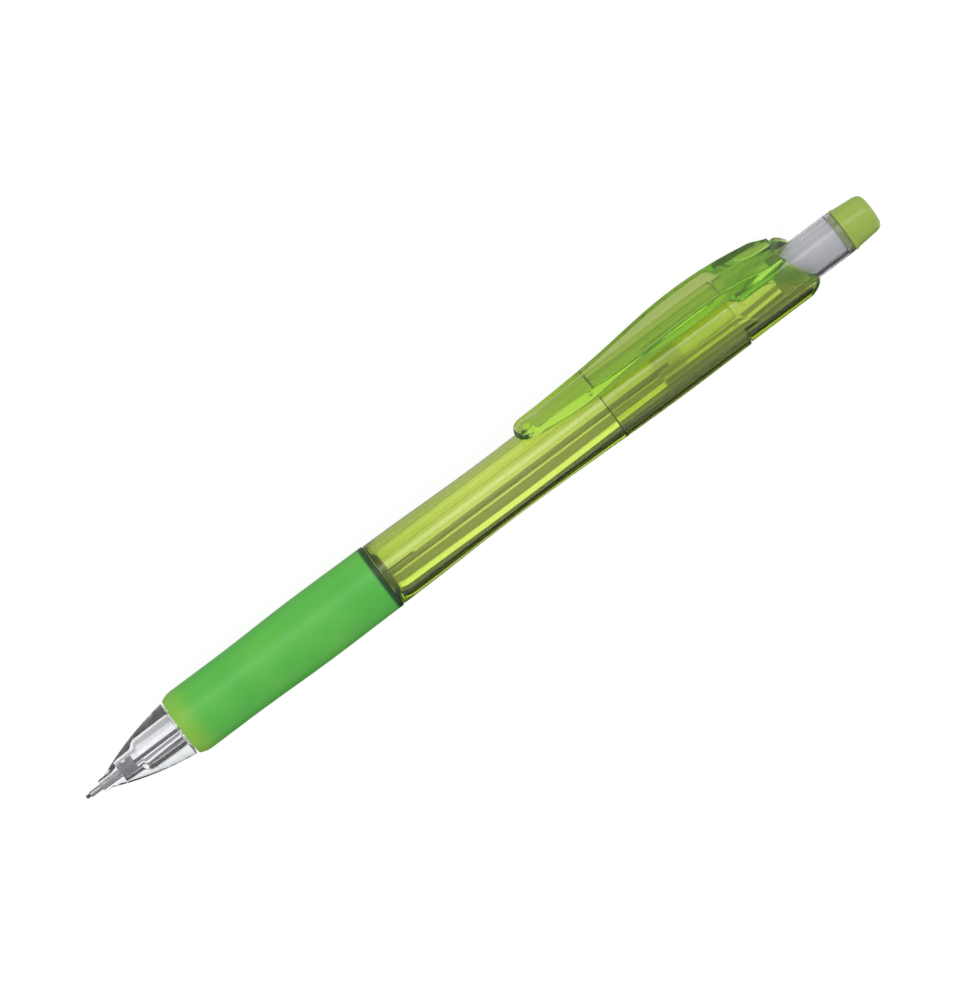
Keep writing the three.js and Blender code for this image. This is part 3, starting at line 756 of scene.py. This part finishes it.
NOSE_BORE, NOSE_OUTER = 3.35, 4.3
SEAT_BORE, SEAT_FRONT, SEAT_BACK, SEAT_SLOPE = 2.7, 28.3, 46.0, 0.5
WIDE_BORE_CLEAR, MAIN_BORE, BORE_SLOPE = 2.94, 4.0, 1.5
SOCKET, SOCKET_SPACE = 4.67, 0.08
WAIST, BULGE, REAR = 4.84, 5.38, 5.31
WAIST_SHARE, BULGE_SHARE = 0.33, 0.83
SEAM_REACH, COLLAR_AFTER_GRIP = 0.22, 0.36

lime = clear_plastic("lime_plastic", (0.125, 0.045, 0.5), (0.97, 0.995, 0.6), 0.98)
barrel_front, barrel_back = ends("barrel")
barrel_back += SEAM_REACH
collar = grip_back + COLLAR_AFTER_GRIP
length = barrel_back - collar
socket_front = ends("rear_sleeve")[0] - SOCKET_SPACE
outside = eased([
    (collar, GRIP_RADIUS), (collar + WAIST_SHARE * length, WAIST),
    (collar + BULGE_SHARE * length, BULGE), (barrel_back, REAR),
])
piece("barrel_tube", turned([
    (barrel_front, NOSE_BORE), (barrel_front, NOSE_OUTER, 0.3), (collar, NOSE_OUTER),
    (*outside[0], 0.15), *outside[1:-1], (*outside[-1], 0.3),
    (barrel_back, SOCKET, 0.1), (socket_front, SOCKET, 0.2), (socket_front, MAIN_BORE, 0.2),
    (collar + BORE_SLOPE, MAIN_BORE, 1.0), (collar - BORE_SLOPE, WIDE_BORE_CLEAR, 0.5),
    (SEAT_BACK + SEAT_SLOPE, WIDE_BORE_CLEAR), (SEAT_BACK, SEAT_BORE),
    (SEAT_FRONT, SEAT_BORE), (SEAT_FRONT, NOSE_BORE),
], steps=128), lime, "main_body", "lime_plastic", "barrel")

# ---- Rear sleeve --------------------------------------------------------------------
# The lime sleeve behind the barrel, in whose bore the push tube slides. Its stem snaps into
# the barrel's socket, with a notch at each side for the snap, and its rim is scooped out
# under the clip. Angles are in degrees from the clip's middle.

SLEEVE_BORE, SLEEVE_STEM, SLEEVE_RADIUS, RIM_TAPER = 3.62, 4.57, 5.1, 0.04
STEM_SKIN, SEAM_GAP, SEAM_ZONE = 0.01, 0.12, 1
SLEEVE_RIM, RIM_TOP, RIM_SIDE, RIM_BACK, RIM_ZONE = 129.8, 128.6, 131.7, 0.1, 1
SCOOP_START, SCOOP_SPAN, SCOOP_POWER = 15, 75, 1.45
POINT_END, UNDERSIDE_START = 92, 135
NOTCH_DEPTH, NOTCH_START, NOTCH_END = 2.3, 50, 84


def step(start, end, value):
    """Rises smoothly from 0 to 1 as the value goes from start to end."""
    t = min(1, max(0, (value - start) / (end - start)))
    return t * t * (3 - 2 * t)


def rim_at(angle):
    """Where the rim is at an angle."""
    scooped = min(SCOOP_SPAN, max(0, angle - SCOOP_START)) / SCOOP_SPAN
    ear = RIM_TOP + (RIM_SIDE - RIM_TOP) * scooped ** SCOOP_POWER
    return ear + (SLEEVE_RIM - RIM_SIDE) * step(POINT_END, UNDERSIDE_START, angle)


stem_front = ends("rear_sleeve")[0]
seam = barrel_back + SEAM_GAP
sleeve = turned([
    (stem_front, SLEEVE_BORE, 0.1), (stem_front, SLEEVE_STEM, 0.2), (seam, SLEEVE_STEM),
    (seam, SLEEVE_RADIUS, 0.3), (SLEEVE_RIM, SLEEVE_RADIUS - RIM_TAPER, 0.35),
    (SLEEVE_RIM, SLEEVE_BORE, 0.3),
], steps=180)
for v in sleeve.verts:
    angle = abs(math.degrees(math.atan2(v.co.y, v.co.z)))
    outside_stem = math.hypot(v.co.y, v.co.z) > SLEEVE_STEM + STEM_SKIN
    if outside_stem and v.co.x < seam + SEAM_ZONE and NOTCH_START < angle < NOTCH_END:
        v.co.x += NOTCH_DEPTH * (angle - NOTCH_START) / (NOTCH_END - NOTCH_START)
    elif v.co.x > SLEEVE_RIM - RIM_ZONE:
        v.co.x += rim_at(angle) - SLEEVE_RIM - RIM_BACK
piece("sleeve", sleeve, lime, "main_body", "lime_plastic", "rear_sleeve")

# ---- Clip and hood ------------------------------------------------------------------
# The clip runs level from its tip, arches over the seam, and comes down as a hood that hugs
# the sleeve and ends in two points at the rim. It is one moulding with the sleeve, with a
# flat face and deep, crisp sides. Each half is made of columns: crest, bend, wall and hood.

TIP_WIDTH, HALF_WIDTH, RIM_WIDTH = 2.0, 3.4, 2.7
WIDENS, WIDEST, NARROWS, NARROWEST = 84, 112, 126, 129
LEVEL_TOP, LEVEL_RISE, LEVEL_LENGTH = 7.34, 0.05, 13.4
ARCH_TOP, ARCH_X, ARCH_STEPS, ARCH_POWER, ROOF = 8.33, 113.3, 24, 0.8, 0.2
CROWN, NOSE, TIP_ROUND, TIP_BLUNT = 0.06, 0.8, 0.9, 0.02
CORNER, CORNER_OF_WIDTH, CORNER_OF_HEIGHT = 0.3, 0.5, 0.45
UNDERSIDE, TIP_LIFT, LIFT_END, LIFT_LENGTH, LIFT_POWER = 2.72, 1.1, 95, 10, 1.3
PAD_AT, PAD_SPREAD, PAD_GAP = 2.2, 0.9, 0.3
HUG_START, HUG_END, CREST_HUG_END = 118.4, 120.6, 126
HOOD_SKIN, HOOD_EDGE_SKIN, HOOD_FIT, EDGE_SHARE = 0.25, 0.05, 0.015, 0.95
HOOD_TOP_ANGLE, HOOD_SWEEP, SWEEP_START, SWEEP_END = 31, 60, 122.5, 131.6
CREST_ANGLE, WALL_ANGLE, HOOD_ANGLE = 26, 12, 53
CREST, BEND, WALL_ROWS, HOOD_ROWS = 14, 5, 6, 20
TO_BEND, TO_WALL = CREST + BEND, CREST + BEND + WALL_ROWS
HALF = TO_WALL + HOOD_ROWS
LENGTHS, FINE_TIP = 190, 0.12
DEEPENS, DEEPEST, HOOD_TINT = 117, 121, (0.68, 0.88, 0.4)

deep_lime = clear_plastic("deep_lime_plastic", (0.12, 0.04, 0.45), (0.93, 0.985, 0.6), 0.98,
                          deeper=(DEEPENS, DEEPEST, HOOD_TINT))
clip_tip, clip_root = ends("clip")


def height_on(points, x):
    """The height at x of a line through points."""
    for (xa, ya), (xb, yb) in zip(points, points[1:]):
        if x <= xb:
            return ya + (yb - ya) * max(0, x - xa) / (xb - xa)
    return points[-1][1]


top_line = eased([
    (clip_tip, LEVEL_TOP), (clip_tip + LEVEL_LENGTH, LEVEL_TOP + LEVEL_RISE), (ARCH_X, ARCH_TOP),
], ARCH_STEPS)
for k in range(1, ARCH_STEPS + 1):
    fall = math.cos(math.pi / 2 * k / ARCH_STEPS) ** ARCH_POWER
    top_line.append((ARCH_X + (SLEEVE_RIM - ARCH_X) * k / ARCH_STEPS,
                     SLEEVE_RADIUS + ROOF + (ARCH_TOP - SLEEVE_RADIUS - ROOF) * fall))


def half_width(x):
    """Half the clip's width, which grows from the round tip and shrinks again at the rim."""
    grown = (HALF_WIDTH - TIP_WIDTH) * step(WIDENS, WIDEST, x)
    shrunk = (HALF_WIDTH - RIM_WIDTH) * step(NARROWS, NARROWEST, x)
    short = max(0, clip_tip + TIP_WIDTH - x) / TIP_WIDTH
    return (TIP_WIDTH + grown - shrunk) * math.sqrt(max(TIP_BLUNT, 1 - short ** 2))


def hood_edge(x):
    """The angle from the clip's middle to the lower edge of the hood, which sweeps back in an S."""
    sweep = math.radians(HOOD_SWEEP) * step(SWEEP_START, SWEEP_END, x)
    return math.radians(HOOD_TOP_ANGLE) + sweep


def skin_end(column):
    """How far back a column of the skin runs."""
    if column <= CREST:
        angle = CREST_ANGLE * column / CREST
    elif column <= TO_WALL:
        angle = CREST_ANGLE + WALL_ANGLE * (column - CREST) / (BEND + WALL_ROWS)
    else:
        angle = CREST_ANGLE + WALL_ANGLE + HOOD_ANGLE * (column - TO_WALL) / HOOD_ROWS
    return rim_at(angle)


def skin_point(x, column):
    """The outside and the inside of the skin as (y, z), for one side of the middle."""
    width = half_width(x)
    hug = step(HUG_START, HUG_END, x)
    nose = NOSE * (1 - math.sqrt(1 - (1 - min(1, max(0, x - clip_tip) / NOSE)) ** 2))
    lift = TIP_LIFT * (max(0, LIFT_END - x) / LIFT_LENGTH) ** LIFT_POWER
    top = height_on(top_line, x) - nose
    low = half_width(max(x, clip_tip + TIP_WIDTH)) + UNDERSIDE + lift + nose * TIP_ROUND
    corner = min(CORNER, width * CORNER_OF_WIDTH, (top - low) * CORNER_OF_HEIGHT)
    skin = SLEEVE_RADIUS + HOOD_SKIN
    foot = low * (1 - hug) + math.sqrt(skin ** 2 - width ** 2) * hug
    if column <= CREST:
        y = (width - corner) * column / CREST
        z = top - CROWN * (y / width) ** 2
    elif column <= TO_BEND:
        turn = math.pi / 2 * (column - CREST) / BEND
        y = width - corner * (1 - math.sin(turn))
        z = top - CROWN - corner * (1 - math.cos(turn))
    elif column <= TO_WALL:
        share = (column - TO_BEND) / WALL_ROWS
        y = width
        z = (top - CROWN - corner) * (1 - share) + foot * share
    else:
        share = (column - TO_WALL) / HOOD_ROWS
        join = math.atan2(width, foot)
        angle = join + max(0, hood_edge(x) - join) * share * hug
        thinned = skin - (HOOD_SKIN - HOOD_EDGE_SKIN) * step(EDGE_SHARE, 1, share)
        radius = math.hypot(width, foot) * (1 - hug) + thinned * hug
        y = radius * math.sin(angle)
        z = radius * math.cos(angle)
    away = (x - clip_tip - PAD_AT) ** 2 + y ** 2
    pad = (low - height_on(outside, x) - PAD_GAP) * math.exp(-away / PAD_SPREAD)
    flat = Vector((min(y, width), low - max(0, pad)))
    snug = Vector((y, z)).normalized() * (SLEEVE_RADIUS + HOOD_FIT)
    inside = flat.lerp(snug, step(HUG_START, CREST_HUG_END, x) if column <= CREST else hug)
    return (y, z), inside


clip = bmesh.new()
bmesh.ops.create_grid(clip, x_segments=LENGTHS, y_segments=2 * HALF, size=1)
outer = {v: (v.co.x, v.co.y) for v in clip.verts}
lower = bmesh.ops.extrude_face_region(clip, geom=clip.faces[:])["geom"]
inner = {v: (v.co.x, v.co.y) for v in lower if isinstance(v, bmesh.types.BMVert)}
for verts, which in ((outer, 0), (inner, 1)):
    for v, (along, side) in verts.items():
        column = round(abs(side) * HALF)
        share = (along + 1) / 2
        share *= FINE_TIP + (1 - FINE_TIP) * share
        x = clip_tip + (skin_end(column) - clip_tip) * share
        y, z = skin_point(x, column)[which]
        v.co = x, math.copysign(y, side), z
clip_piece = piece("clip_and_hood", clip, deep_lime, None, "lime_plastic", "clip")
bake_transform(clip_piece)

# ---- Bounces and finish -------------------------------------------------------------
# A line of sight can cross sixteen surfaces of clear plastic and be thrown back inside
# them, so light may bounce more often than usual.

MOST_BOUNCES, MIRROR_BOUNCES = 40, 16

bpy.context.scene.cycles.max_bounces = MOST_BOUNCES
bpy.context.scene.cycles.transmission_bounces = MOST_BOUNCES
bpy.context.scene.cycles.glossy_bounces = MIRROR_BOUNCES
bpy.context.scene.view_settings.view_transform = "Standard"
bpy.context.view_layer.update()
